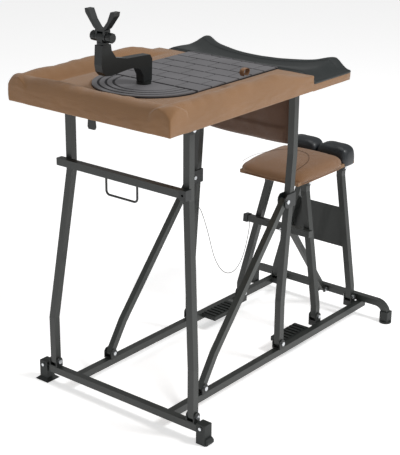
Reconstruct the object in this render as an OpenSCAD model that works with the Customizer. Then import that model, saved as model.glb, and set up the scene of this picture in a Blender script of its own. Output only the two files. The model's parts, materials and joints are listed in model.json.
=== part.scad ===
// Folding shooting bench with an attached seat and a swivelling gun rest.
// +Z is up and +Y runs from the table towards the seat. The origin is on the
// floor under the middle of the bench. Lengths are in millimetres.

/* [Frame tubes] */
// Outside width of the square frame tube
tube = 18; // [16:0.5:20]
// Width of the square tube of the two diagonal braces
brace_tube = 16; // [12:0.5:16]
// Height of the rails' underside above the floor
rail_lift = 27; // [22:1:34]
// Distance of each side rail from the middle
rail_x = 150; // [140:1:165]

/* [Base] */
// Distance from the front feet to the rear feet
base_l = 851; // [780:1:930]
// Distance of each front foot from the middle
front_foot_x = 257; // [245:1:285]
// Distance of each rear foot from the middle
rear_foot_x = 233; // [220:1:260]
// Radius of the bend at each end of the rear tube
rear_bend_r = 30; // [24:1:34]
// Width of the black front foot blocks
foot_w = 26; // [24:1:30]
// Height of the front foot blocks
foot_h = 52; // [48:1:60]

/* [Table] */
// Width of the padded table top
table_w = 484; // [440:1:520]
// Overhang of the table in front of the front feet
table_over = 102; // [70:1:130]
// Length of the table top along its sides
table_l = 686; // [640:1:720]
// Height of the table's underside above the floor
table_z = 754; // [720:1:840]
// Thickness of the board inside the table top
board_t = 18; // [12:1:20]
// Height of the well's floor above the board
well_t = 20; // [16:1:24]
// Height of the padded rim above the well's floor
rim_h = 26; // [18:1:32]
// Width of the padded rim
rim_w = 60; // [44:1:68]
// Depth of the body cut-out in the rear edge
cutout_d = 46; // [30:1:60]
// Thickness of the rubber mat
mat_t = 5; // [3:0.5:8]
// Width of the rubber mat
mat_w = 270; // [230:1:300]

/* [Table legs] */
// Distance of each front leg's foot from the middle
leg_foot_x = 224; // [205:1:227]
// Distance of each front leg's top from the middle
leg_top_x = 181; // [175:1:195]
// Distance from the front legs to the rear legs
leg_gap = 445; // [400:1:470]
// Rearward lean of each leg between foot and top
leg_lean = 34; // [20:1:48]
// Height of the cross tube between the front legs
cross_z = 590; // [560:1:640]

/* [Seat] */
// Width of the seat
seat_w = 200; // [180:1:204]
// Length of the seat
seat_l = 280; // [264:1:290]
// Height of the seat board's underside above the floor
seat_z = 441; // [410:1:470]
// Thickness of the seat's foam
seat_foam = 33; // [25:1:40]
// Distance from the front feet to the seat's front legs
seat_leg_y = 648; // [640:1:655]
// Distance from the seat's front legs to its rear legs
seat_leg_gap = 176; // [160:1:178]
// Distance of each seat leg's foot from the middle
seat_foot_x = 127; // [122:1:128]
// Distance of each seat leg's top from the middle
seat_top_x = 60; // [50:1:70]
// Rearward lean of the seat legs
seat_lean = 30; // [20:1:34]

/* [Gun rest] */
// Distance from the front feet to the gun rest's post
rest_y = 92; // [80:1:110]
// Forward reach from the post to the yoke
rest_reach = 133; // [110:1:150]
// Height of the yoke's tilt axis above the mat
rest_rise = 128; // [118:1:140]
// Half-width across the tips of the yoke
yoke_half = 44; // [36:1:52]
// Height of the yoke's tips above its tilt axis
yoke_rise = 58; // [48:1:70]

/* [Fits] */
// Radius of the pivot bolts
bolt_r = 3; // [2.5:0.1:3.5]
// Radial running clearance of a bolt in a moving part
run_gap = 0.05; // [0.03:0.01:0.08]
// Clearance on each side of a tube between bracket ears
ear_gap = 0.5; // [0.3:0.1:0.8]
// Clearance between moving faces
face_gap = 0.4; // [0.3:0.1:0.8]

/* [Hidden] */
$fn = 32;

// Frame heights and places
half = tube / 2;
boot_r = 17;                                   // flange of a rear boot
toe_r = 9;                                     // roller lobe of the left foot
y0 = (table_over - base_l - boot_r) / 2;       // line of the front feet
rail_z = rail_lift + half;
rail_top = rail_lift + tube;
rear_z = rail_top + half;                      // rear tube lies on the rails
rear_face = base_l - half;
ear_t = 3;
plate_t = 4;
ear_in = half + ear_gap;
ear_out = ear_in + ear_t;
pivot_z = rail_top + plate_t + half + 2;       // foot pivots of every leg
ear_r = 11;
hole_r = bolt_r + run_gap;
head_r = 5.5;
head_t = 4;

// Table
table_back = table_l - table_over;
board_top = table_z + board_t;
well_z = board_top + well_t;
mat_top = well_z + mat_t;
rim_top = well_z + rim_h;
pad_front = table_back - 160;                  // front edge of the belly pad
rim_end = pad_front;
rim_slope = 145;
half_w = table_w / 2;
skin = 4;                                      // cover under the belly pad
cut_half = 197;
cut_r = (cut_half * cut_half + cutout_d * cutout_d) / (2 * cutout_d);
cut_y = table_back - cutout_d + cut_r;
table_pivot_z = table_z - 19;
leg_up_z = 570;                                // legs stand upright above this
leg_low_z = 180;                               // and below this
mat_r = mat_w / 2;
mat_y = 115;

// Diagonal braces
brace_y = 123;
brace_knee = [171, pivot_z + 73];
stud = [leg_gap + 2, 452];
stud_gap = 0.4;
weld_gap = 0.1;                                // keeps welded faces from biting into each other

// Seat
seat_low_z = 90;
seat_up_z = seat_z - 41;
seat_pivot_z = seat_z - 15;
seat_front = seat_leg_y - 62;
seat_board_t = 10;
cushion_l = seat_l * 0.79;
lobe_h = seat_foam + 13;
seat_bar_z = 290;
lean_a = atan(seat_lean / (seat_up_z - seat_low_z));
lug_y = rear_face - 9;
lug_z = rear_z;
strut_x = 30;
strut_w = 14;

// Gun rest
base_t = 6;
arm_z = mat_top + base_t + face_gap;
yoke_y = rest_y - rest_reach;
yoke_z = mat_top + rest_rise;
neck_z = yoke_z - 17;
arm_w = 22;
stud_r = 5;
screw_x = 36;                                  // clamp screw under the table

// Free cord from the rear table leg to the seat's latch
cord_r = 0.9;
cord_sides = 8;
cord_eye = [-rail_x + half + 0.6, 466, 362];
latch = [-105, seat_leg_y + 2, seat_bar_z];
cord_route = [
    cord_eye, [-138, 469, 361], [-136, 474, 350], [-134, 484, 325], [-132, 494, 295],
    [-131, 504, 265], [-130, 513, 235], [-129, 524, 205], [-127, 540, 175],
    [-125, 560, 152], [-122, 582, 141], [-119, 604, 143], [-116, 622, 158],
    [-113, 635, 182], [-110, 643, 210], [-107, 648, 240], [-105, 650, 262],
    [latch[0], latch[1], latch[2] - half - 0.55]];

module place() translate([0, y0, 0]) children();
module both() { children(); mirror([1, 0, 0]) children(); }

// A profile drawn in Y and Z, w wide in X
module yz(x, w) translate([x - w / 2, 0, 0]) rotate([90, 0, 90]) linear_extrude(w) children();

// A cylinder along X, Y
module rod_x(x, y, z, r, l) translate([x, y, z]) rotate([0, 90, 0]) cylinder(r = r, h = l, center = true);
module rod_y(x, y, z, r, l) translate([x, y, z]) rotate([90, 0, 0]) cylinder(r = r, h = l, center = true);

// Outline of a bent bar of even width along the points p
function nrm(v) = [-v[1], v[0]] / norm(v);
function miter(p, i) = let(n = len(p))
    i == 0 ? nrm(p[1] - p[0]) : i == n - 1 ? nrm(p[n - 1] - p[n - 2]) :
    let(a = nrm(p[i] - p[i - 1]), b = nrm(p[i + 1] - p[i])) (a + b) / (1 + a * b);
function strip(p, w) = concat(
    [for (i = [0:len(p) - 1]) p[i] + miter(p, i) * w / 2],
    [for (i = [len(p) - 1:-1:0]) p[i] - miter(p, i) * w / 2]);

// A square tube through points in space, cut level at each one
module leaning(p) for (i = [0:len(p) - 2]) hull() {
    translate(p[i]) cube([tube, tube, 0.6], center = true);
    translate(p[i + 1]) cube([tube, tube, 0.6], center = true);
}

// A smooth tube swept along the points p
function cross3(a, b) = [a[1] * b[2] - a[2] * b[1], a[2] * b[0] - a[0] * b[2], a[0] * b[1] - a[1] * b[0]];
function unit(v) = v / norm(v);
function along(p, i) = unit(p[min(i + 1, len(p) - 1)] - p[max(i - 1, 0)]);
module cord(p, r, n) {
    rings = [for (i = [0:len(p) - 1]) let(t = along(p, i), u = unit(cross3(t, [1, 0.2, 0])), v = cross3(t, u))
        for (k = [0:n - 1]) p[i] + r * (cos(360 * k / n) * u + sin(360 * k / n) * v)];
    m = len(p);
    polyhedron(points = rings, faces = concat(
        [[for (k = [0:n - 1]) k]],
        [for (i = [0:m - 2]) for (k = [0:n - 1])
            [i * n + k, (i + 1) * n + k, (i + 1) * n + (k + 1) % n, i * n + (k + 1) % n]],
        [[for (k = [n - 1:-1:0]) (m - 1) * n + k]]));
}

// Two ears on a plate, standing at x, y above z, for a pivot at height pz
module foot_bracket(x, y, z, pz) {
    difference() {
        union() {
            translate([x - ear_out, y - ear_r, z]) cube([2 * ear_out, 2 * ear_r, plate_t]);
            for (s = [-1, 1]) {
                rod_x(x + s * (ear_in + ear_t / 2), y, pz, ear_r, ear_t);
                translate([x + s * (ear_in + ear_t / 2) - ear_t / 2, y - ear_r, z])
                    cube([ear_t, 2 * ear_r, pz - z]);
            }
        }
        rod_x(x, y, pz, hole_r, 3 * tube);
    }
}

// A bolt along X with a round head and a nut
module pivot_bolt(x, y, z, grip, out) {
    rod_x(x, y, z, bolt_r, 2 * grip);
    rod_x(x + out * (grip + head_t / 2), y, z, head_r, head_t);
    translate([x - out * (grip + head_t / 2), y, z]) rotate([0, 90, 0])
        cylinder(r = head_r, h = head_t, center = true, $fn = 6);
}

// ---- base ----
module front_tube() color("#41443f") place()
    translate([-front_foot_x + foot_w / 2, -half, rail_lift])
        cube([2 * front_foot_x - foot_w, tube, tube]);

module side_rail(s) color("#41443f") place()
    translate([s * rail_x - half, half, rail_lift]) cube([tube, base_l, tube]);
module side_rail_left() side_rail(1);
module side_rail_right() side_rail(-1);

module rear_tube_shape() {
    bend_x = rear_foot_x - rear_bend_r;
    translate([-bend_x, rear_face, rear_z - half]) cube([2 * bend_x, tube, tube]);
    both() {
        translate([bend_x, base_l, rear_z - rear_bend_r]) rotate([90, 0, 0])
            rotate_extrude(angle = 90) translate([rear_bend_r - half, -half]) square(tube);
        translate([rear_foot_x - half, rear_face, 8])
            cube([tube, tube, rear_z - rear_bend_r - 8]);
    }
}
module rear_tube() color("#41443f") place() rear_tube_shape();

// The left foot has a small roller lobe, the right one a spread sole
module front_foot_left() color("#1b201f") place() {
    translate([front_foot_x - foot_w / 2, -foot_w / 2, 0]) cube([foot_w, foot_w, foot_h]);
    rod_y(front_foot_x + foot_w / 2, 0, toe_r, toe_r, foot_w - 4);
}
module front_foot_right() color("#1b201f") place() {
    translate([-front_foot_x - foot_w / 2, -foot_w / 2, 0]) cube([foot_w, foot_w, foot_h]);
    sole = foot_w / 2 + toe_r;
    translate([-front_foot_x, 0, 0]) rotate(45)
        cylinder(r1 = sole * sqrt(2), r2 = foot_w / sqrt(2) - 1.5, h = 9, $fn = 4);
}
module rear_foot(s) color("#1b201f") place() difference() {
    union() {
        translate([s * rear_foot_x - 12.5, base_l - 12.5, 0]) cube([25, 25, 34]);
        translate([s * rear_foot_x, base_l, 0]) cylinder(r = boot_r, h = 5, $fn = 48);
    }
    rear_tube_shape();
}
module rear_foot_left() rear_foot(1);
module rear_foot_right() rear_foot(-1);

module leg_brackets() color("#1d2120") place() both() {
    foot_bracket(leg_foot_x, 0, rail_top, pivot_z);
    foot_bracket(rail_x, leg_gap, rail_top, pivot_z);
}
module brace_brackets() color("#1d2120") place() both()
    foot_bracket(rail_x, brace_y, rail_top, pivot_z);
module seat_brackets() color("#1d2120") place() both()
    for (y = [seat_leg_y, seat_leg_y + seat_leg_gap]) {
        foot_bracket(seat_foot_x, y, rail_top, pivot_z);
        translate([seat_foot_x - ear_out, y - ear_r, rail_top - 12])
            cube([rail_x - half - seat_foot_x + ear_out, 2 * ear_r, 12]);
    }
module base_pivot_bolts() color("#b9bcbd") place() {
    both() {
        pivot_bolt(leg_foot_x, 0, pivot_z, ear_out, -1);
        pivot_bolt(rail_x, leg_gap, pivot_z, ear_out, 1);
        pivot_bolt(rail_x, brace_y, pivot_z, ear_out, 1);
        for (y = [seat_leg_y, seat_leg_y + seat_leg_gap])
            pivot_bolt(seat_foot_x, y, pivot_z, ear_out, -1);
    }
    pivot_bolt(strut_x, lug_y, lug_z, strut_w / 2 + ear_gap + ear_t, 1);
}
module foot_bolts() color("#b9bcbd") place() both()
    rod_y(front_foot_x, -foot_w / 2 - 1.5, rail_z + 6, 4, 3);

// Ribbed rubber rests for the shooter's feet, inboard of the rails
module foot_pad(s) color("#1b1f1e") place() {
    translate([s * (rail_x - half - 23) - 23, 487, rail_top - 11]) cube([46, 112, 12]);
    for (i = [0:6]) translate([s * (rail_x - half - 23) - 20, 492 + i * 15, rail_top + 1])
        cube([40, 8, 3]);
}
module foot_pad_left() foot_pad(1);
module foot_pad_right() foot_pad(-1);

module strut_lug() color("#1d2120") place() difference() {
    w = strut_w / 2 + ear_gap + ear_t;
    union() {
        translate([strut_x - w, rear_face - 2, rear_z - half]) cube([2 * w, 2, tube]);
        for (s = [-1, 1]) translate([strut_x + s * (w - ear_t / 2) - ear_t / 2, lug_y - 8, lug_z - 8])
            cube([ear_t, rear_face - lug_y + 8, 16]);
    }
    rod_x(strut_x, lug_y, lug_z, hole_r, 3 * tube);
}

// ---- front table legs ----
module front_leg(s) color("#3f4240") place() difference() {
    top = [s * leg_top_x, leg_lean, table_pivot_z];
    union() {
        leaning([[s * leg_foot_x, 0, pivot_z], [s * leg_foot_x, 0, leg_low_z],
            [s * leg_top_x, leg_lean, leg_up_z], top]);
        rod_x(s * leg_foot_x, 0, pivot_z, half, tube);
        rod_x(top[0], top[1], top[2], half, tube);
    }
    rod_x(s * leg_foot_x, 0, pivot_z, hole_r, 2 * tube);
    rod_x(top[0], top[1], top[2], hole_r, 2 * tube);
}
module front_leg_left() front_leg(1);
module front_leg_right() front_leg(-1);
module front_crossbar() color("#3f4240") place()
    translate([-leg_top_x - 24, leg_lean - half - tube, cross_z - half])
        cube([2 * leg_top_x + 19, tube, tube]);
module crossbar_knuckle() color("#151a19") place() difference() {
    translate([leg_top_x - 5, leg_lean - half - tube - 2, cross_z - half - 3])
        cube([20, tube + 2, tube + 6]);
    rod_y(leg_top_x + 5, 0, cross_z, 3, 3 * tube);
}
module carry_handle() color("#1b1f1e") place()
    translate([-4, leg_lean - 2 * half, cross_z - half]) {
        r = 2.7; w = 48; h = 42; b = 10;
        for (s = [-1, 1]) {
            translate([s * w, 0, b - h]) cylinder(r = r, h = h - b);
            translate([s * (w - b), 0, b - h]) rotate([90, 0, 0]) rotate(s > 0 ? -90 : 180)
                rotate_extrude(angle = 90) translate([b, 0]) circle(r);
        }
        rod_x(0, 0, -h, r, 2 * (w - b));
    }

// ---- rear table legs ----
leg_path = [[leg_gap, pivot_z], [leg_gap, leg_low_z],
    [leg_gap + leg_lean, leg_up_z], [leg_gap + leg_lean, table_pivot_z]];
module rear_leg(s) color("#3f4240") place() difference() {
    union() {
        yz(s * rail_x, tube) polygon(strip(leg_path, tube));
        rod_x(s * rail_x, leg_path[0][0], pivot_z, half, tube);
        rod_x(s * rail_x, leg_path[3][0], table_pivot_z, half, tube);
    }
    rod_x(s * rail_x, leg_path[0][0], pivot_z, hole_r, 2 * tube);
    rod_x(s * rail_x, leg_path[3][0], table_pivot_z, hole_r + 0.25, 2 * tube);
}
module rear_leg_left() rear_leg(1);
module rear_leg_right() rear_leg(-1);

// U-shaped clips behind the legs carry the studs that the braces hook over
lean_rate = leg_lean / (leg_up_z - leg_low_z);
clip_y = leg_gap + lean_rate * (stud[1] - leg_low_z) + weld_gap;
module brace_clips() color("#161b1a") place() both() difference() {
    yz(rail_x, 2 * half + 2 * ear_t) polygon([
        [stud[0] - 9, stud[1] - 10], [stud[0] - 9, stud[1] + 10], [stud[0], stud[1] + 18],
        [clip_y + half + 5, stud[1] + 18], [clip_y + half + 5, stud[1] - 18],
        [stud[0], stud[1] - 18]]);
    yz(rail_x, tube) polygon([[stud[0] - 20, stud[1] - 40], [stud[0] - 20, stud[1] + 40],
        [clip_y + half + 40 * lean_rate, stud[1] + 40],
        [clip_y + half - 40 * lean_rate, stud[1] - 40]]);
    rod_x(rail_x, stud[0], stud[1], hole_r, 3 * tube);
}
module clip_bolts() color("#b9bcbd") place() both()
    pivot_bolt(rail_x, stud[0], stud[1], half + ear_t, 1);

// ---- braces ----
module brace(s) color("#4a4d4a") place() difference() {
    union() {
        yz(s * rail_x, brace_tube) polygon(strip([[brace_y, pivot_z], brace_knee, stud], brace_tube));
        rod_x(s * rail_x, brace_y, pivot_z, brace_tube / 2, brace_tube);
        rod_x(s * rail_x, stud[0], stud[1], brace_tube / 2, brace_tube);
    }
    rod_x(s * rail_x, brace_y, pivot_z, hole_r, 2 * tube);
    // open hook: the brace lifts up and forward off its stud
    rod_x(s * rail_x, stud[0], stud[1], bolt_r + stud_gap, 2 * tube);
    yz(s * rail_x, 2 * tube) polygon(strip([stud, stud + [9, -18]], 2 * (bolt_r + stud_gap)));
}
module brace_left() brace(1);
module brace_right() brace(-1);

// ---- table ----
module table_plan(inset, front, back) difference() {
    translate([-half_w + inset, front]) square([table_w - 2 * inset, back - front]);
    translate([0, cut_y]) circle(cut_r + inset, $fn = 128);
}
module table_board() color("#6b4a2e") place() difference() {
    translate([0, 0, table_z]) linear_extrude(board_t) table_plan(3, -table_over + 3, table_back - 3);
    translate([screw_x, rest_y, table_z - 1]) cylinder(r = 4 + run_gap, h = board_t - 2);
}
module table_cover() color("#a8784c") place() {
    translate([0, 0, board_top]) linear_extrude(skin) table_plan(0, -table_over, table_back);
    translate([-half_w, -table_over, board_top]) cube([table_w, pad_front + table_over, well_t]);
    difference() {
        translate([-half_w, -table_over, well_z]) cube([table_w, pad_front + table_over, rim_h]);
        translate([-half_w + rim_w, -table_over + rim_w, well_z - 1])
            cube([table_w - 2 * rim_w, table_l, rim_h + 2]);
        // the side rims run down to nothing in front of the belly pad
        yz(0, 2 * table_w) polygon([[pad_front - rim_slope, rim_top + 0.01],
            [pad_front + 1, well_z + 2], [pad_front + 1, rim_top + 0.01]]);
    }
}
module mat() color("#777879") place() translate([0, 0, well_z]) {
    linear_extrude(mat_t) {
        translate([0, mat_y]) circle(mat_r, $fn = 96);
        translate([-mat_r, mat_y]) square([mat_w, pad_front - mat_y]);
    }
}
module belly_pad() color("#171f1f") place() difference() {
    z = board_top + skin;
    translate([0, table_back, 0]) rotate([90, 0, 0]) linear_extrude(table_back - pad_front) polygon([
        [-half_w, z], [-half_w + 6, z + 8], [-cut_half - 16, z + 20], [-cut_half - 4, z + 25],
        [-150, z + 21], [-80, z + 14], [0, z + 11], [80, z + 14], [150, z + 21],
        [cut_half + 4, z + 25], [cut_half + 16, z + 20], [half_w - 6, z + 8], [half_w, z]]);
    translate([0, cut_y, 0]) cylinder(r = cut_r, h = 2 * table_z, $fn = 128);
}
module pouch() color("#5a3d2a") place()
    translate([-rail_x + half + 8, leg_gap + leg_lean - 4, table_z - 168])
        cube([2 * (rail_x - half - 8), 34, 168]);
module rim_loop() color("#9a6a40") place()
    translate([half_w - rim_w + 6, 222, 0]) difference() {
        rod_x(0, 0, rim_top + 11, 11, 14);
        rod_x(0, 0, rim_top + 11, 8.5, 20);
    }

// Two ears under the table for the pivot at x, y
module hanging_bracket(x, y, z, pz) translate([0, 0, 2 * z]) mirror([0, 0, 1])
    foot_bracket(x, y, z, 2 * z - pz);
module table_brackets() color("#1d2120") place() both() {
    hanging_bracket(leg_top_x, leg_lean, table_z, table_pivot_z);
    hanging_bracket(rail_x, leg_gap + leg_lean, table_z, table_pivot_z);
}
module table_bolts() color("#b9bcbd") place() both() {
    pivot_bolt(leg_top_x, leg_lean, table_pivot_z, ear_out, -1);
    pivot_bolt(rail_x, leg_gap + leg_lean, table_pivot_z, ear_out, 1);
}
module rest_screw() color("#151a19") place() translate([screw_x, rest_y, table_z - face_gap]) {
    translate([0, 0, -66]) cylinder(r = 6.5, h = 66);
    translate([0, 0, -66]) sphere(r = 6.5);
    translate([0, 0, -4]) cylinder(r = 14, h = 4);
    cylinder(r = 4, h = board_t - 6);
}
module pull_tab() color("#151a19") place() translate([-88, 10, table_z]) {
    translate([-9, -6, -5]) cube([18, 12, 5]);
    rotate([90, 0, 0]) linear_extrude(5, center = true)
        polygon([[-6, -4], [6, -4], [12, -58], [9, -64], [-9, -64], [-12, -58]]);
}

// ---- gun rest ----
module rest_base() color("#161c1c") place() translate([0, rest_y, mat_top]) {
    cylinder(r = 17, h = base_t, $fn = 48);
    cylinder(r = stud_r, h = base_t + 16);
}
module rest_arm() color("#161c1c") place() difference() {
    yz(0, arm_w) polygon([
        [rest_y + 15, arm_z], [rest_y - 13, arm_z], [rest_y - 14, arm_z + 16],
        [rest_y - 22, arm_z + 30], [rest_y - 38, arm_z + 38], [rest_y - 62, arm_z + 39],
        [yoke_y + 14, arm_z + 34], [yoke_y - 4, arm_z + 36], [yoke_y - 14, arm_z + 46],
        [yoke_y - 17, arm_z + 62], [yoke_y - 14, neck_z], [yoke_y + 14, neck_z],
        [yoke_y + 16, neck_z - 14], [yoke_y + 30, arm_z + 72], [rest_y - 66, arm_z + 64],
        [rest_y - 20, arm_z + 62], [rest_y + 10, arm_z + 60], [rest_y + 17, arm_z + 50]]);
    translate([0, rest_y, arm_z - 1]) cylinder(r = stud_r + run_gap, h = 19);
    translate([0, yoke_y, neck_z - 14]) cylinder(r = stud_r + run_gap, h = 20);
}
module rest_turret() color("#121717") place() translate([0, yoke_y, neck_z + face_gap]) {
    translate([0, 0, -12]) cylinder(r = stud_r, h = 13);
    cylinder(r = 13, h = 5);
    difference() {
        union() {
            translate([-8, -11, 0]) cube([16, 22, yoke_z - neck_z - face_gap]);
            rod_x(0, 0, yoke_z - neck_z - face_gap, 11, 16);
        }
        rod_x(0, 0, yoke_z - neck_z - face_gap, hole_r, 30);
    }
}
module rest_bolt() color("#b9bcbd") place() rod_x(0, yoke_y, yoke_z, bolt_r, 52);
module rest_yoke() color("#121717") place() difference() {
    union() {
        both() {
            rod_x(8 + face_gap + 3, yoke_y, yoke_z, 11, 6);
            translate([8 + face_gap, yoke_y - 9, yoke_z]) cube([6, 18, 16]);
            translate([0, yoke_y + 9, yoke_z]) rotate([90, 0, 0]) linear_extrude(18) polygon([
                [0, 13], [8, 13], [19, 20], [yoke_half - 2, yoke_rise - 9], [yoke_half, yoke_rise],
                [yoke_half - 12, yoke_rise], [22, 36], [9, 20], [0, 17]]);
        }
    }
    rod_x(0, yoke_y, yoke_z, hole_r, 60);
}
module rest_knob(s) color("#0f1414") place() difference() {
    union() {
        rod_x(s * (8 + face_gap + 6.3 + 8), yoke_y, yoke_z, 10, 14);
        for (i = [0:7]) translate([s * (8 + face_gap + 6.3 + 8), yoke_y, yoke_z])
            rotate([i * 45, 0, 0]) translate([0, 0, 9]) cube([12, 4, 4], center = true);
    }
    rod_x(0, yoke_y, yoke_z, hole_r, 53);
}
module rest_knob_left() rest_knob(1);
module rest_knob_right() rest_knob(-1);

// ---- seat frame ----
module seat_leg(s, y) color("#3a3d3b") place() difference() {
    union() {
        leaning([[s * seat_foot_x, y, pivot_z], [s * seat_foot_x, y, seat_low_z],
            [s * seat_top_x, y + seat_lean, seat_up_z], [s * seat_top_x, y + seat_lean, seat_pivot_z]]);
        rod_x(s * seat_foot_x, y, pivot_z, half, tube);
        rod_x(s * seat_top_x, y + seat_lean, seat_pivot_z, half, tube);
    }
    rod_x(s * seat_foot_x, y, pivot_z, hole_r, 2 * tube);
    rod_x(s * seat_top_x, y + seat_lean, seat_pivot_z, hole_r, 2 * tube);
}
module seat_leg_front_left() seat_leg(1, seat_leg_y);
module seat_leg_front_right() seat_leg(-1, seat_leg_y);
module seat_leg_rear_left() seat_leg(1, seat_leg_y + seat_leg_gap);
module seat_leg_rear_right() seat_leg(-1, seat_leg_y + seat_leg_gap);

// Moves its children onto the leaning face of the seat legs at height z
module on_lean(y, z) translate([0, y + (z - seat_low_z) * tan(lean_a), z])
    rotate([-lean_a, 0, 0]) children();
face_off = half * cos(lean_a);
module seat_crossbar() color("#2d302f") place() on_lean(seat_leg_y, seat_bar_z)
    difference() {
        translate([-104, -face_off - weld_gap - tube, -half]) cube([206, tube, tube]);
        rod_y(16, -face_off - half, 0, 2.05, 2 * tube);
    }
module seat_latch() color("#121615") place() on_lean(seat_leg_y, seat_bar_z)
    translate([-118, -face_off - tube - 2, -half - 2]) cube([14, tube + 2, tube + 4]);
module hitch_pin() color("#b9bcbd") place() on_lean(seat_leg_y, seat_bar_z) {
    rod_y(16, -face_off - half, 0, 2, tube + 8);
    translate([16, -face_off - tube - 5, -6]) rotate([90, 0, 0])
        rotate_extrude() translate([6, 0]) circle(1, $fn = 16);
}
module back_panel() color("#20261f") place() on_lean(seat_leg_y + seat_leg_gap, 250)
    translate([0, face_off + weld_gap + 3, 0]) rotate([90, 0, 0]) linear_extrude(3)
        polygon([[-98, -56], [98, -56], [76, 56], [-76, 56]]);
module seat_board() color("#4a3a28") place()
    translate([-seat_w / 2 + 4, seat_front + 4, seat_z])
        cube([seat_w - 8, seat_l - 8, seat_board_t]);
module seat_cushion() color("#8c6039") place()
    translate([-seat_w / 2, seat_front, seat_z + seat_board_t]) hull() {
        translate([0, 0, 0]) cube([seat_w, cushion_l, seat_foam - 12]);
        translate([10, 10, 0]) cube([seat_w - 20, cushion_l - 10, seat_foam]);
    }
module seat_lobe(s) color("#1d2226") place()
    translate([s > 0 ? 0.5 : -seat_w / 2, seat_front + cushion_l + 0.3, seat_z + seat_board_t])
        hull() {
            cube([seat_w / 2 - 0.5, seat_l - cushion_l - 0.3, lobe_h - 14]);
            translate([8, 4, 0]) cube([seat_w / 2 - 16.5, seat_l - cushion_l - 14, lobe_h]);
        }
module seat_lobe_left() seat_lobe(1);
module seat_lobe_right() seat_lobe(-1);
module seat_top_brackets() color("#1d2120") place() both()
    for (y = [seat_leg_y, seat_leg_y + seat_leg_gap])
        hanging_bracket(seat_top_x, y + seat_lean, seat_z, seat_pivot_z);
module seat_top_bolts() color("#b9bcbd") place() both()
    for (y = [seat_leg_y, seat_leg_y + seat_leg_gap])
        pivot_bolt(seat_top_x, y + seat_lean, seat_pivot_z, ear_out, 1);

// Diagonal strut from the rear tube to the seat's front cross tube
strut_top = [seat_leg_y + (seat_bar_z - 6 - seat_low_z) * tan(lean_a) + face_gap - face_off + 1.5,
    seat_bar_z - 5];
module seat_strut() color("#3a3d3b") place() difference() {
    union() {
        yz(strut_x, strut_w) polygon(strip([[lug_y, lug_z], strut_top + [2, -2]], strut_w));
        rod_x(strut_x, lug_y, lug_z, strut_w / 2, strut_w);
    }
    rod_x(strut_x, lug_y, lug_z, hole_r, 2 * tube);
    on_lean(seat_leg_y, seat_bar_z)
        translate([0, -face_off + face_gap - 50, -50]) cube([200, 50, 100]);
}

module lanyard() color("#2b2724") place() cord(cord_route, cord_r, cord_sides);

front_tube();
side_rail_left();
side_rail_right();
rear_tube();
front_foot_left();
front_foot_right();
rear_foot_left();
rear_foot_right();
leg_brackets();
brace_brackets();
seat_brackets();
base_pivot_bolts();
foot_bolts();
foot_pad_left();
foot_pad_right();
strut_lug();
front_leg_left();
front_leg_right();
front_crossbar();
crossbar_knuckle();
carry_handle();
rear_leg_left();
rear_leg_right();
brace_clips();
clip_bolts();
brace_left();
brace_right();
table_board();
table_cover();
mat();
belly_pad();
pouch();
rim_loop();
table_brackets();
table_bolts();
rest_screw();
pull_tab();
rest_base();
rest_arm();
rest_turret();
rest_bolt();
rest_yoke();
rest_knob_left();
rest_knob_right();
seat_leg_front_left();
seat_leg_front_right();
seat_crossbar();
seat_latch();
hitch_pin();
seat_leg_rear_left();
seat_leg_rear_right();
back_panel();
seat_board();
seat_cushion();
seat_lobe_left();
seat_lobe_right();
seat_top_brackets();
seat_top_bolts();
seat_strut();
lanyard();
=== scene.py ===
import json
import math

import bmesh
import bpy
from mathutils import Matrix, Vector, noise


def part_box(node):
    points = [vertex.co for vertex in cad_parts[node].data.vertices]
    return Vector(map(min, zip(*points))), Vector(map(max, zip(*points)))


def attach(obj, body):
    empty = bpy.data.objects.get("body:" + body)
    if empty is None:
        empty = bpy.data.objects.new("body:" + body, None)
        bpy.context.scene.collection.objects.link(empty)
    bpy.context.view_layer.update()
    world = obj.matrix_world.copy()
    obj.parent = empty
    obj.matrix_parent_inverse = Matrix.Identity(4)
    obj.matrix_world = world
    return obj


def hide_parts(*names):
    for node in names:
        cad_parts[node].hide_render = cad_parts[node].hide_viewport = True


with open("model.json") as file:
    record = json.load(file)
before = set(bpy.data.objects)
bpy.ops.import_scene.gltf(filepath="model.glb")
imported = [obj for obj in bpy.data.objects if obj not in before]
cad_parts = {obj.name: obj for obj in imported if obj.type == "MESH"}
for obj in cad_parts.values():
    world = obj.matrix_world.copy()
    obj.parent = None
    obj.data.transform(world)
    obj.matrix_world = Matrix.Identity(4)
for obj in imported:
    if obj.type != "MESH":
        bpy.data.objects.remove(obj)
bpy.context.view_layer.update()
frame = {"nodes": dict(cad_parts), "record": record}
Y0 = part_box("front_tube")[0][1] + 0.009          # line of the front feet


# ---------- materials ----------
def material(name, colour, rough, metal=0.0, coat=0.0, sheen=0.0):
    m = bpy.data.materials.new(name)
    m.use_nodes = True
    nt = m.node_tree
    b = nt.nodes["Principled BSDF"]
    b.inputs["Base Color"].default_value = (*colour, 1)
    b.inputs["Roughness"].default_value = rough
    b.inputs["Metallic"].default_value = metal
    b.inputs["Coat Weight"].default_value = coat
    b.inputs["Sheen Weight"].default_value = sheen
    return m, nt, b


def node(nt, kind, **values):
    n = nt.nodes.new(kind)
    for k, v in values.items():
        if k in n.inputs:
            n.inputs[k].default_value = v
        else:
            setattr(n, k, v)
    return n


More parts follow.
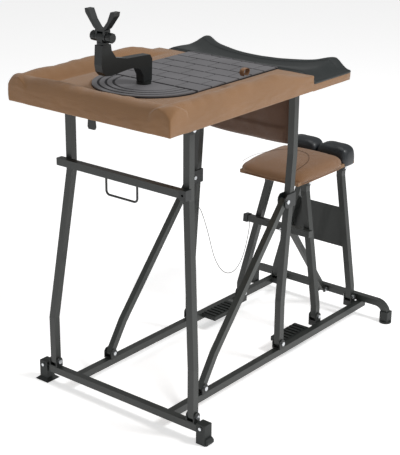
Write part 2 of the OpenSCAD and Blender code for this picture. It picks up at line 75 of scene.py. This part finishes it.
def mottled(nt, b, colour, scale, amount):
    """The base colour varies a little over the surface."""
    tc = node(nt, "ShaderNodeTexCoord")
    n = node(nt, "ShaderNodeTexNoise", Scale=scale, Detail=6.0)
    r = node(nt, "ShaderNodeValToRGB")
    lo = [c * (1 - amount) for c in colour]
    hi = [min(1, c * (1 + amount)) for c in colour]
    r.color_ramp.elements[0].position, r.color_ramp.elements[1].position = 0.3, 0.7
    r.color_ramp.elements[0].color = (*lo, 1)
    r.color_ramp.elements[1].color = (*hi, 1)
    nt.links.new(tc.outputs["Object"], n.inputs["Vector"])
    nt.links.new(n.outputs["Fac"], r.inputs["Fac"])
    nt.links.new(r.outputs["Color"], b.inputs["Base Color"])
    return tc


def bumped(nt, b, source, strength, distance):
    bump = node(nt, "ShaderNodeBump", Strength=strength, Distance=distance)
    nt.links.new(source, bump.inputs["Height"])
    nt.links.new(bump.outputs["Normal"], b.inputs["Normal"])


def grainy(name, colour, rough, scale, strength, distance, metal=0.0, coat=0.0, amount=0.12):
    m, nt, b = material(name, colour, rough, metal, coat)
    tc = mottled(nt, b, colour, 9, amount)
    n = node(nt, "ShaderNodeTexNoise", Scale=scale, Detail=4.0)
    nt.links.new(tc.outputs["Object"], n.inputs["Vector"])
    bumped(nt, b, n.outputs["Fac"], strength, distance)
    return m


def woven(name, colour, amount=0.1):
    """Canvas: crossing threads over a soft change of shade."""
    m, nt, b = material(name, colour, 0.86, sheen=0.25)
    tc = mottled(nt, b, colour, 5, amount)
    height = None
    for axis in ("X", "Y", "Z"):
        w = node(nt, "ShaderNodeTexWave", bands_direction=axis, Scale=420.0, Distortion=1.2)
        w.inputs["Detail Scale"].default_value = 2.0
        nt.links.new(tc.outputs["Object"], w.inputs["Vector"])
        if height is None:
            height = w.outputs["Fac"]
        else:
            add = node(nt, "ShaderNodeMath", operation="ADD")
            nt.links.new(height, add.inputs[0])
            nt.links.new(w.outputs["Fac"], add.inputs[1])
            height = add.outputs[0]
    bumped(nt, b, height, 0.35, 0.0006)
    return m


MAT = {
    "frame_grey": grainy("frame_grey", (0.020, 0.023, 0.021), 0.46, 900, 0.12, 0.0004, coat=0.12),
    "brace_grey": grainy("brace_grey", (0.027, 0.031, 0.028), 0.44, 900, 0.12, 0.0004, coat=0.12),
    "bracket_black": grainy("bracket_black", (0.012, 0.014, 0.013), 0.5, 700, 0.15, 0.0004),
    "zinc": grainy("zinc", (0.62, 0.64, 0.66), 0.28, 500, 0.05, 0.0002, metal=1.0),
    "black_rubber": grainy("black_rubber", (0.010, 0.013, 0.012), 0.62, 420, 0.3, 0.0006),
    "grey_rubber": grainy("grey_rubber", (0.125, 0.122, 0.128), 0.75, 380, 0.3, 0.0006),
    # the near-black groove colour is painted shade in the recesses between the grey rubber tiles
    "groove_painted_shade": grainy("groove_painted_shade", (0.004, 0.004, 0.006), 0.8, 300, 0.2, 0.0005),
    "black_plastic": grainy("black_plastic", (0.004, 0.006, 0.006), 0.42, 620, 0.14, 0.0004, coat=0.08),
    "tan_fabric": woven("tan_fabric", (0.235, 0.118, 0.046)),
    "tan_seat": woven("tan_seat", (0.185, 0.088, 0.033)),
    "tan_binding": woven("tan_binding", (0.20, 0.095, 0.037)),
    "brown_fabric": woven("brown_fabric", (0.082, 0.038, 0.019)),
    "black_vinyl": grainy("black_vinyl", (0.004, 0.0075, 0.0075), 0.5, 300, 0.22, 0.0005, coat=0.06),
    "blue_vinyl": grainy("blue_vinyl", (0.007, 0.010, 0.013), 0.46, 300, 0.22, 0.0005, coat=0.1),
    "board": grainy("board", (0.21, 0.12, 0.06), 0.7, 60, 0.3, 0.0006),
    "thread": grainy("thread", (0.07, 0.032, 0.012), 0.8, 900, 0.3, 0.0003),
    "dark_thread": grainy("dark_thread", (0.03, 0.033, 0.036), 0.7, 900, 0.3, 0.0003),
    "cable": grainy("cable", (0.022, 0.018, 0.015), 0.45, 500, 0.1, 0.0002),
}
SLOT = {s["node"]: s["material_slot"] for s in frame["record"]["subparts"]}
BEVEL = {"frame_grey": 0.0016, "brace_grey": 0.0014, "bracket_black": 0.0008, "zinc": 0.0006,
         "black_rubber": 0.0016, "black_plastic": 0.0022, "board": 0.001}


def finish_hard(o, slot_name, width):
    o.data.materials.clear()
    o.data.materials.append(MAT[slot_name])
    for p in o.data.polygons:
        p.material_index = 0
    if width:
        b = o.modifiers.new("edge", "BEVEL")
        b.width, b.segments, b.limit_method, b.angle_limit = width, 3, "ANGLE", math.radians(35)
        b.use_clamp_overlap = True
        b.harden_normals = True


for name, o in frame["nodes"].items():
    s = SLOT[name]
    finish_hard(o, s, BEVEL.get(s, 0))


# ---------- mesh helpers ----------
def made(name, verts, faces, mat, body, smooth=True, subdivide=0):
    me = bpy.data.meshes.new(name)
    me.from_pydata([tuple(v) for v in verts], [], faces)
    me.update()
    o = bpy.data.objects.new(name, me)
    bpy.context.collection.objects.link(o)
    me.materials.append(MAT[mat])
    bm = bmesh.new()
    bm.from_mesh(me)
    bmesh.ops.remove_doubles(bm, verts=bm.verts, dist=1e-6)
    bmesh.ops.recalc_face_normals(bm, faces=bm.faces)
    bm.to_mesh(me)
    bm.free()
    for p in me.polygons:
        p.use_smooth = smooth
    if subdivide:
        m = o.modifiers.new("smooth", "SUBSURF")
        m.levels = m.render_levels = subdivide
    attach(o, body)
    return o


def tube(name, pts, r, mat, body, sides=8, closed=False):
    pts = [Vector(p) for p in pts]
    n = len(pts)
    verts, faces = [], []
    up = Vector((0.13, 0.21, 0.97)).normalized()
    for i, p in enumerate(pts):
        a = pts[(i - 1) % n] if closed else pts[max(i - 1, 0)]
        b = pts[(i + 1) % n] if closed else pts[min(i + 1, n - 1)]
        t = (b - a).normalized()
        u = t.cross(up)
        u = u.normalized() if u.length > 1e-4 else t.orthogonal().normalized()
        v = t.cross(u)
        for k in range(sides):
            w = 2 * math.pi * k / sides
            verts.append(p + r * (math.cos(w) * u + math.sin(w) * v))
    for i in range(n if closed else n - 1):
        j = (i + 1) % n
        for k in range(sides):
            q = (k + 1) % sides
            faces.append((i * sides + k, j * sides + k, j * sides + q, i * sides + q))
    if not closed:
        faces.append(tuple(range(sides))[::-1])
        faces.append(tuple((n - 1) * sides + k for k in range(sides)))
    return made(name, verts, faces, mat, body)


def stitches(name, pts, mat, body, pitch=0.006, length=0.004, r=0.0005):
    """A row of short raised threads along a line."""
    pts = [Vector(p) for p in pts]
    verts, faces = [], []
    walked, nxt = 0.0, 0.0
    for a, b in zip(pts, pts[1:]):
        seg = (b - a).length
        if seg < 1e-7:
            continue
        t = (b - a) / seg
        u = t.cross(Vector((0, 0, 1)))
        u = u.normalized() if u.length > 1e-3 else Vector((1, 0, 0))
        v = t.cross(u)
        while nxt < walked + seg:
            p = a + t * (nxt - walked)
            base = len(verts)
            for d in (0, length):
                for k in range(4):
                    w = math.pi / 4 + math.pi / 2 * k
                    verts.append(p + t * d + r * (math.cos(w) * u + math.sin(w) * v))
            for k in range(4):
                q = (k + 1) % 4
                faces.append((base + k, base + 4 + k, base + 4 + q, base + q))
            faces.append((base + 3, base + 2, base + 1, base))
            faces.append((base + 4, base + 5, base + 6, base + 7))
            nxt += pitch
        walked += seg
    return made(name, verts, faces, mat, body, smooth=False)


def grid_faces(nx, ny):
    """Faces of a grid of nx by ny cells whose points run along x first."""
    w = nx + 1
    return [(j * w + i, j * w + i + 1, (j + 1) * w + i + 1, (j + 1) * w + i)
            for j in range(ny) for i in range(nx)]


def strip_faces(upper, lower, closed=False):
    """Faces between two rows of point numbers of the same length."""
    m = len(upper)
    return [(upper[k], upper[(k + 1) % m], lower[(k + 1) % m], lower[k])
            for k in range(m if closed else m - 1)]


def smoothstep(a, b, x):
    t = max(0.0, min(1.0, (x - a) / (b - a)))
    return t * t * (3 - 2 * t)


def wave3(p, scale, seed):
    return noise.noise(Vector(p) * scale + Vector((seed, 2.3 * seed, 0.7 * seed)))


# ---------- table cover ----------
T_lo, T_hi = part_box("table_cover")
B_lo, B_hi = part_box("table_board")
P_lo, P_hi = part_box("belly_pad")
M_lo, M_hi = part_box("mat")
HW = T_hi[0]
FRONT, BACK = T_lo[1], T_hi[1]
WELL = M_lo[2]
RIM = T_hi[2]
PADF = P_lo[1]
UNDER = B_lo[2]
RW = 0.060
CUT_D, CUT_HALF = 0.046, 0.197
CUT_R = (CUT_HALF ** 2 + CUT_D ** 2) / (2 * CUT_D)
CUT_Y = BACK - CUT_D + CUT_R


def rear_edge(x):
    """The concave rear edge of the table at x."""
    if abs(x) >= CUT_HALF:
        return BACK
    return min(BACK, CUT_Y - math.sqrt(max(0.0, CUT_R ** 2 - x ** 2)))


def roll(t):
    """Profile of the padded rim: round at the outside, full in the middle, a crease inside."""
    return math.sin(math.pi * min(1, t * 1.04) ** 0.72) ** 0.62 if 0 < t < 1 else 0.0


def rim_height(x, y):
    """Share of the rim's height at a point: a padded roll round three sides, 0 in the well."""
    side = (HW - abs(x)) / RW
    front = (y - FRONT) / RW
    fall = 1 - smoothstep(PADF - 0.150, PADF - 0.002, y)
    h = max(roll(side) * fall, roll(front) * 0.92)
    if side < 0.5 and front < 0.5:
        d = math.hypot(0.5 - side, 0.5 - front)
        h = max(0.0, 1 - max(0.0, (d - 0.30) / 0.42) ** 2.2) * 0.97
    return h


nx, ny = 120, 150
FLOOR_Z, TOP_Z = WELL - 0.0006, RIM - 0.001      # fabric just under the mat and under the rim's top
verts = []
for j in range(ny + 1):
    v = j / ny
    for i in range(nx + 1):
        u = 2 * i / nx - 1
        # the points are closer together near the rims
        x = math.copysign(HW * (abs(u) ** 0.86), u)
        y = FRONT + (PADF - FRONT) * v ** 1.04
        h = rim_height(x, y)
        edge = min(HW - abs(x), y - FRONT)
        z = FLOOR_Z + (TOP_Z - FLOOR_Z) * h
        amp = 0.0008 + 0.0030 * h
        z += amp * wave3((x, y, 0), 14, 3) + 0.6 * amp * wave3((x, y, 0), 38, 9)
        crease = math.exp(-((edge - RW) / 0.006) ** 2) * (1 - smoothstep(PADF - 0.1, PADF, y))
        z -= 0.0012 * crease
        z = min(z, RIM + 0.0016)
        verts.append((x, y, z))
W = nx + 1
faces = grid_faces(nx, ny)
# the sides hang down over the board, with a shallow pull between corners
outline = [j * W for j in range(ny, -1, -1)] + list(range(1, W)) + [j * W + nx for j in range(1, ny + 1)]
rows = 12
prev = outline
for r in range(1, rows + 1):
    t = r / rows
    row = []
    for idx in outline:
        x, y, z = verts[idx]
        zz = z + (UNDER - 0.0012 - z) * t
        belly = math.sin(math.pi * t)
        out = belly * (0.0012 + 0.0016 * wave3((x, y, zz * 2.2), 11, 5))
        fold = belly * 0.0014 * wave3((x, y, zz * 4), 34, 8)
        ox = math.copysign(1, x) if abs(x) > HW - 1e-4 else 0.0
        oy = -1.0 if y < FRONT + 1e-4 else 0.0
        row.append(len(verts))
        verts.append((x + ox * (out + fold), y + oy * (out + fold), zz))
    faces += strip_faces(prev, row)
    prev = row
# turned under the board
row = []
for idx in prev:
    x, y, z = verts[idx]
    row.append(len(verts))
    verts.append((x * (1 - 0.03 / HW) if abs(x) > 0.05 else x, max(y, FRONT + 0.028), UNDER - 0.0010))
faces += strip_faces(prev, row)
cover = made("cover", verts, faces, "tan_fabric", "table", subdivide=1)
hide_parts("table_cover")

# hem of the cover round the rear part of the board, below the belly pad
verts, faces = [], []
prof = [(d, UNDER + h) for d, h in
        ((0.0, -0.001), (0.001, 0.006), (0.0012, 0.012), (0.001, 0.018), (0.0, 0.021))]
path = [(HW - 0.001, PADF + (BACK - PADF) * t / 10, 1, 0) for t in range(11)]
for k in range(61):
    x = HW - 2 * HW * k / 60
    path.append((x * 0.998, rear_edge(x) - 0.001, 0, 1))
path += [(-HW + 0.001, BACK - (BACK - PADF) * t / 10, -1, 0) for t in range(11)]
for x, y, nxn, nyn in path:
    for d, z in prof:
        w = 0.0008 * wave3((x, y, z), 30, 4)
        verts.append((x + nxn * (d + w), y + nyn * (d + w), z))
n = len(prof)
for i in range(len(path) - 1):
    for k in range(n - 1):
        faces.append((i * n + k, (i + 1) * n + k, (i + 1) * n + k + 1, i * n + k + 1))
made("cover_hem", verts, faces, "tan_fabric", "table")

# ---------- belly pad ----------
def pad_top(x, v):
    """Height of the belly pad's top at x, v = 0 at its front edge and 1 at the rear lip."""
    a = abs(x)
    s = 1 - smoothstep(0.198, HW - 0.001, a)
    dip = 0.011 * max(0.0, 1 - (a / 0.2) ** 2)
    horn = 0.006 * math.exp(-((a - 0.195) / 0.028) ** 2) * smoothstep(0.3, 0.95, v)
    front = WELL + 0.004 * smoothstep(0, 0.1, v)
    lip = 0.0045 * math.exp(-((v - 0.9) / 0.10) ** 2)
    z = front - dip * smoothstep(0.0, 0.55, v) + horn + lip - 0.004 * math.exp(-((v - 0.55) / 0.2) ** 2)
    low = B_hi[2] + 0.006
    z = low + (z - low) * s
    return z + 0.0007 * wave3((x, v * 0.16, 0), 22, 6)


verts = []
nx, ny = 110, 30
for j in range(ny + 1):
    v = j / ny
    for i in range(nx + 1):
        x = (HW - 0.0006) * (2 * i / nx - 1)
        y = PADF + (rear_edge(x) - 0.003 - PADF) * v
        verts.append((x, y, pad_top(x, v)))
W = nx + 1
faces = grid_faces(nx, ny)
outline = list(range(0, W)) + [j * W + nx for j in range(1, ny + 1)] + \
    [ny * W + i for i in range(nx - 1, -1, -1)] + [j * W for j in range(ny - 1, 0, -1)]
prev = outline
for t, push in ((0.25, 0.0018), (0.6, 0.0024), (1.0, 0.001)):
    row = []
    for idx in outline:
        x, y, z = verts[idx]
        out = Vector((math.copysign(1, x) if abs(x) > HW - 0.002 else 0, 0, 0))
        if y > rear_edge(x) - 0.004:
            out += Vector((-x / CUT_R if abs(x) < CUT_HALF else 0, 1, 0))
        if y < PADF + 1e-5:
            out = Vector((0, 0, 0))
        row.append(len(verts))
        verts.append((x + out.x * push, y + out.y * push, z + (B_hi[2] - 0.0015 - z) * t))
    faces += strip_faces(prev, row, closed=True)
    prev = row
faces.append(tuple(prev))
pad = made("belly_pad_skin", verts, faces, "black_vinyl", "table")
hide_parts("belly_pad")
for k, v in enumerate((0.06, 0.80)):
    pts = [(x / 1000, PADF + (rear_edge(x / 1000) - 0.003 - PADF) * v, pad_top(x / 1000, v) + 0.0004)
           for x in range(-226, 227, 6)]
    stitches("pad_stitch_%d" % k, pts, "dark_thread", "table")

# ---------- rubber mat ----------
MR = M_hi[0]
MY = M_lo[1] + MR
TOP, LOW = M_hi[2], M_hi[2] - 0.0022             # tops of the tiles and of the grooves
BED = LOW - 0.0005                               # the tiles are sunk a little in the groove layer
GROOVE, TILE_L, TILE_COLS = 0.0042, 0.050, 4
RINGS = ((0, 0.012), (0.0175, 0.0295), (0.035, 0.047), (0.0525, None))


def slab(outline, z0, z1, chamfer=0.0008):
    """Vertices and faces of a flat tile with a small chamfer."""
    n = len(outline)
    c = sum((Vector(p) for p in outline), Vector((0, 0))) / n
    rows = []
    for z, inset in ((z0, 0), (z1 - chamfer, 0), (z1, chamfer)):
        rows.append([(*(Vector(p) + (c - Vector(p)).normalized() * inset), z) for p in outline])
    v = [q for r in rows for q in r]
    f = [tuple(2 * n + k for k in range(n))]
    for r in (0, 1):
        for k in range(n):
            q = (k + 1) % n
            f.append((r * n + k, r * n + q, (r + 1) * n + q, (r + 1) * n + k))
    return v, f


def merge(parts):
    verts, faces = [], []
    for v, f in parts:
        b = len(verts)
        verts += v
        faces += [tuple(i + b for i in q) for q in f]
    return verts, faces


def arc(r, a0, a1, n=40):
    return [Vector((r * math.cos(math.radians(a0 + (a1 - a0) * k / n)),
                    MY + r * math.sin(math.radians(a0 + (a1 - a0) * k / n)))) for k in range(n + 1)]


base = arc(MR, 180, 360) + [Vector((MR, PADF + 0.004)), Vector((-MR, PADF + 0.004))]
v, f = slab(base, WELL - 0.0005, LOW)
# the near-black layer under the tiles is painted shade in the grooves between them
made("mat_grooves_painted_shade", v, f, "groove_painted_shade", "table", smooth=False)
parts = []
for outside, inside in RINGS:
    outer = arc(MR - outside - 0.0004, 181, 359)
    if inside is None:
        parts.append(slab(outer, BED, TOP))
        continue
    inner = arc(MR - inside, 359, 181)
    for k in range(40):
        quad = [outer[k], outer[k + 1], inner[39 - k], inner[40 - k]]
        b = [(*p, BED) for p in quad] + [(*p, TOP) for p in quad]
        parts.append((b, [(4, 5, 6, 7), (0, 4, 5, 1)[::-1], (2, 6, 7, 3)[::-1]]))
g = GROOVE
cell = 2 * MR / TILE_COLS
y = MY + g
row = 0
while y < PADF - 0.004:
    y1 = min(y + TILE_L, PADF + 0.003)
    shift = cell / 2 if row % 2 else 0.0
    x = -MR - shift
    while x < MR - 1e-4:
        a, b = max(x, -MR), min(x + cell, MR)
        if b - a > 0.012:
            a2, b2 = (a + g / 2 if a > -MR + 1e-4 else a), (b - g / 2 if b < MR - 1e-4 else b)
            parts.append(slab([(a2, y + g / 2), (b2, y + g / 2), (b2, y1 - g / 2), (a2, y1 - g / 2)],
                              BED, TOP))
        x += cell
    y = y1
    row += 1
v, f = merge(parts)
tiles = made("mat_tiles", v, f, "grey_rubber", "table", smooth=False)
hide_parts("mat")


# ---------- stuffed pieces ----------
def squarish(a, b, w, corner):
    """Point at angle w on a rounded rectangle of half-sizes a and b."""
    c, d = math.cos(w), math.sin(w)
    return (a * math.copysign(abs(c) ** (2 / corner), c), b * math.copysign(abs(d) ** (2 / corner), d))


def stuffed(name, lo, hi, mat, body, corner=5.0, crown=0.006, bulge=0.003, seed=1, wrinkle=0.0012,
            shape=None):
    """A cushion whose rings follow a rounded rectangle, with a soft crown and slight wrinkles."""
    cx, cy = (lo[0] + hi[0]) / 2, (lo[1] + hi[1]) / 2
    a, b = (hi[0] - lo[0]) / 2, (hi[1] - lo[1]) / 2
    h = hi[2] - lo[2]
    n = 96
    rings = [(0.0, 0.93, 0.0), (0.0, 0.975, 0.02), (0.0, 1.0, 0.12), (1.0, 1.0, 0.35), (0.7, 1.0, 0.55),
             (0.2, 0.985, 0.72), (0.0, 0.955, 0.86), (0.0, 0.90, 0.945), (0.0, 0.82, 0.98)]
    rings += [(0.0, s, 1.0) for s in (0.7, 0.55, 0.4, 0.25, 0.12, 0.04)]
    verts, faces = [], []
    for push, s, t in rings:
        for k in range(n):
            x, y = squarish(a * s, b * s, 2 * math.pi * k / n, corner)
            z = lo[2] + (h - crown) * t
            if t > 0.8:
                z += crown * (1 - s ** 2) * (t - 0.8) / 0.2
            q = (cx + x, cy + y, z)
            nz = wrinkle * wave3(q, 26, seed) + 0.5 * wrinkle * wave3(q, 70, seed + 3)
            grow = 1 + (push * bulge + nz) / max(a, b)
            p = [cx + x * grow, cy + y * grow, z + (nz if t > 0.5 else 0)]
            if shape:
                p = shape(p)
            verts.append(p)
    m = len(rings)
    for r in range(m - 1):
        for k in range(n):
            q = (k + 1) % n
            faces.append((r * n + k, r * n + q, (r + 1) * n + q, (r + 1) * n + k))
    faces.append(tuple((m - 1) * n + k for k in range(n)))
    faces.append(tuple(range(n))[::-1])
    o = made(name, verts, faces, mat, body, subdivide=1)
    return o


S_lo, S_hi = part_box("seat_cushion")
SEAT_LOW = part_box("seat_board")[0][2]
SEAT_BACK = S_hi[1] + 0.004
SEAT_CORNER, SEAT_CROWN = 6.5, 0.009


def seat_shape(p):
    """The seat drops at its front edge."""
    t = 1 - smoothstep(S_lo[1], S_lo[1] + 0.07, p[1])
    p[2] -= 0.007 * t * smoothstep(S_lo[2], S_hi[2], p[2])
    return p


cushion = stuffed("cushion", (S_lo[0], S_lo[1], SEAT_LOW - 0.0015), (S_hi[0], SEAT_BACK, S_hi[2]),
                  "tan_seat", "seat", corner=SEAT_CORNER, crown=SEAT_CROWN, bulge=0.003,
                  seed=2, wrinkle=0.0022, shape=seat_shape)
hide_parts("seat_cushion")
for side in ("left", "right"):
    L_lo, L_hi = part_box("seat_lobe_" + side)
    o = stuffed("lobe_" + side, (L_lo[0], L_lo[1] - 0.002, SEAT_LOW - 0.001),
                (L_hi[0], L_hi[1] + 0.001, L_hi[2] + 0.002), "blue_vinyl", "seat",
                corner=4.2, crown=0.012, bulge=0.0015, seed=7, wrinkle=0.0012)
    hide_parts("seat_lobe_" + side)


SEAT_A, SEAT_B = (S_hi[0] - S_lo[0]) / 2, (SEAT_BACK - S_lo[1]) / 2


def seat_top(x, y):
    """Height of the cushion's skin at a point."""
    s = max(abs(x) / SEAT_A, abs(y - (S_lo[1] + SEAT_B)) / SEAT_B)
    z = S_hi[2] - SEAT_CROWN + SEAT_CROWN * (1 - min(1, s) ** 2)
    return seat_shape([x, y, z])[2] + 0.0008


arc_pts = [(-0.012 + 0.084 * math.cos(math.radians(t)), S_lo[1] + 0.035 + 0.125 * math.sin(math.radians(t)))
           for t in range(-8, 189, 4)]
stitches("seat_stitch", [(x, y, seat_top(x, y)) for x, y in arc_pts], "thread", "seat",
         0.005, 0.0035, 0.0006)
# welt round the foot of the cushion, by the board
welt = []
for k in range(120):
    x, y = squarish(SEAT_A * 1.012, SEAT_B * 1.008, 2 * math.pi * k / 120, SEAT_CORNER)
    welt.append((x, S_lo[1] + SEAT_B + y, SEAT_LOW + 0.0035))
tube("seat_welt", welt, 0.0016, "tan_binding", "seat", 8, closed=True)

# ---------- pouch ----------
U_lo, U_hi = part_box("pouch")
verts, faces = [], []
nu, nv = 60, 40
cy, hd = (U_lo[1] + U_hi[1]) / 2, (U_hi[1] - U_lo[1]) / 2
loop = []
for k in range(nu + 1):
    loop.append((U_lo[0] + (U_hi[0] - U_lo[0]) * k / nu, -1))
for k in range(nu, -1, -1):
    loop.append((U_lo[0] + (U_hi[0] - U_lo[0]) * k / nu, 1))
for j in range(nv + 1):
    t = j / nv
    z = U_lo[2] + (U_hi[2] - U_lo[2]) * t
    full = math.sin(math.pi * min(1, (t + 0.04) * 0.9)) ** 0.5 * 0.95 + 0.03
    if t < 0.03:
        full = 0.32
    for x, s in loop:
        e = 1 - (abs(x) / U_hi[0]) ** 6
        d = hd * full * (0.35 + 0.65 * e)
        pocket = 0.0035 if s < 0 and 0.02 < t < 0.27 and abs(x) < 0.124 else 0.0
        q = (x, s * 0.1, z)
        dd = d + pocket + 0.0035 * wave3(q, 13, 4) * e + 0.0014 * wave3(q, 40, 11) * e
        verts.append((x, cy + s * max(0.003, min(dd, hd + 0.002)),
                      z + 0.003 * wave3((x, 0, 0), 9, 5) * (1 - t)))
n = len(loop)
for j in range(nv):
    for k in range(n):
        q = (k + 1) % n
        faces.append((j * n + k, j * n + q, (j + 1) * n + q, (j + 1) * n + k))
faces.append(tuple(range(n)))
faces.append(tuple(nv * n + k for k in range(n))[::-1])
bag = made("pouch_bag", verts, faces, "brown_fabric", "table", subdivide=1)
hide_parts("pouch")
stitches("pouch_stitch", [(x / 1000, cy - hd - 0.0005, U_lo[2] + 0.047) for x in range(-122, 123, 6)],
         "thread", "table")

# ---------- small loop on the rim ----------
R_lo, R_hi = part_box("rim_loop")
cx, cy, cz = [(R_lo[k] + R_hi[k]) / 2 for k in range(3)]
verts, faces = [], []
steps = 30
for i in range(steps + 1):
    t = math.radians(-62 + 304 * i / steps)
    r = 0.0098 + 0.0006 * math.sin(3 * t)
    for dx, dr in ((-0.007, -0.0007), (0.007, -0.0007), (0.007, 0.0007), (-0.007, 0.0007)):
        twist = 0.0012 * math.sin(t)
        verts.append((cx + dx + twist, cy + (r + dr) * math.cos(t) * 1.12, cz + (r + dr) * math.sin(t)))
for i in range(steps):
    for k in range(4):
        q = (k + 1) % 4
        faces.append((i * 4 + k, (i + 1) * 4 + k, (i + 1) * 4 + q, i * 4 + q))
faces += [(3, 2, 1, 0), tuple(steps * 4 + k for k in range(4))]
ribbon = made("loop_ribbon", verts, faces, "tan_binding", "table", subdivide=1)
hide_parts("rim_loop")

# ---------- lanyard ----------
ROUTE = [(-0.1404, 0.466, 0.362), (-0.138, 0.469, 0.361), (-0.136, 0.474, 0.350), (-0.134, 0.484, 0.325),
         (-0.132, 0.494, 0.295), (-0.131, 0.504, 0.265), (-0.130, 0.513, 0.235), (-0.129, 0.524, 0.205),
         (-0.127, 0.540, 0.175), (-0.125, 0.560, 0.152), (-0.122, 0.582, 0.141), (-0.119, 0.604, 0.143),
         (-0.116, 0.622, 0.158), (-0.113, 0.635, 0.182), (-0.110, 0.643, 0.210), (-0.107, 0.648, 0.240),
         (-0.105, 0.650, 0.262), (-0.105, 0.650, 0.28045)]
route = [Vector((x, y + Y0, z)) for x, y, z in ROUTE]
fine = []
for i in range(len(route) - 1):
    p0, p1, p2, p3 = route[max(i - 1, 0)], route[i], route[i + 1], route[min(i + 2, len(route) - 1)]
    for k in range(4):
        t = k / 4
        fine.append(0.5 * ((2 * p1) + (p2 - p0) * t + (2 * p0 - 5 * p1 + 4 * p2 - p3) * t * t
                           + (3 * p1 - p0 - 3 * p2 + p3) * t ** 3))
fine.append(route[-1])
cable = tube("lanyard_cable", fine, 0.0009, "cable", "rear_legs", 8)
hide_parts("lanyard")

# ---------- camera, light, floor ----------
cam_data = bpy.data.cameras.new("camera")
cam = bpy.data.objects.new("camera", cam_data)
bpy.context.collection.objects.link(cam)
cam_data.sensor_width = 36
cam_data.lens = 98.3
cam_data.clip_end = 100
pitch, az, roll = math.radians(20.48), math.radians(38.83), math.radians(-0.44)
right = Vector((math.cos(az), math.sin(az), 0))
ahead = Vector((-math.sin(az) * math.cos(pitch), math.cos(az) * math.cos(pitch), -math.sin(pitch)))
down = ahead.cross(right)
r2 = right * math.cos(roll) + down * math.sin(roll)
d2 = -right * math.sin(roll) + down * math.cos(roll)
cam.matrix_world = Matrix.Translation((1.8348, -1.97998 + Y0, 1.480)) @ Matrix((
    (r2.x, -d2.x, -ahead.x, 0), (r2.y, -d2.y, -ahead.y, 0), (r2.z, -d2.z, -ahead.z, 0), (0, 0, 0, 1)))
bpy.context.scene.camera = cam

scene = bpy.context.scene
scene.view_settings.view_transform = "Standard"
world = bpy.data.worlds.new("world")
scene.world = world
world.use_nodes = True
bg = world.node_tree.nodes["Background"]
bg.inputs["Color"].default_value = (1, 1, 1, 1)
bg.inputs["Strength"].default_value = 0.36

FAR, FLOOR_LEVEL = 30, -0.0005
me = bpy.data.meshes.new("floor")
me.from_pydata([(x, y, FLOOR_LEVEL) for x, y in ((-FAR, -FAR), (FAR, -FAR), (FAR, FAR), (-FAR, FAR))], [],
               [(0, 1, 2, 3)])
floor = bpy.data.objects.new("floor", me)
bpy.context.collection.objects.link(floor)
fm, _, fb = material("floor", (0.93, 0.93, 0.93), 0.9)
fb.inputs["Emission Color"].default_value = (1, 1, 1, 1)
fb.inputs["Emission Strength"].default_value = 0.5
me.materials.append(fm)


def lamp(name, place, target, size, power):
    d = bpy.data.lights.new(name, "AREA")
    d.shape, d.size, d.energy = "DISK", size, power
    o = bpy.data.objects.new(name, d)
    bpy.context.collection.objects.link(o)
    o.location = place
    o.rotation_mode = "QUATERNION"
    o.rotation_quaternion = (Vector(target) - Vector(place)).to_track_quat("-Z", "Y")


lamp("key", (2.6, 0.6, 3.0), (0, 0, 0.5), 1.0, 84)
lamp("fill", (-1.6, -2.6, 2.0), (0, 0, 0.5), 2.0, 3)
lamp("top", (-0.3, 0.3, 3.4), (0, 0, 0.7), 2.0, 22)
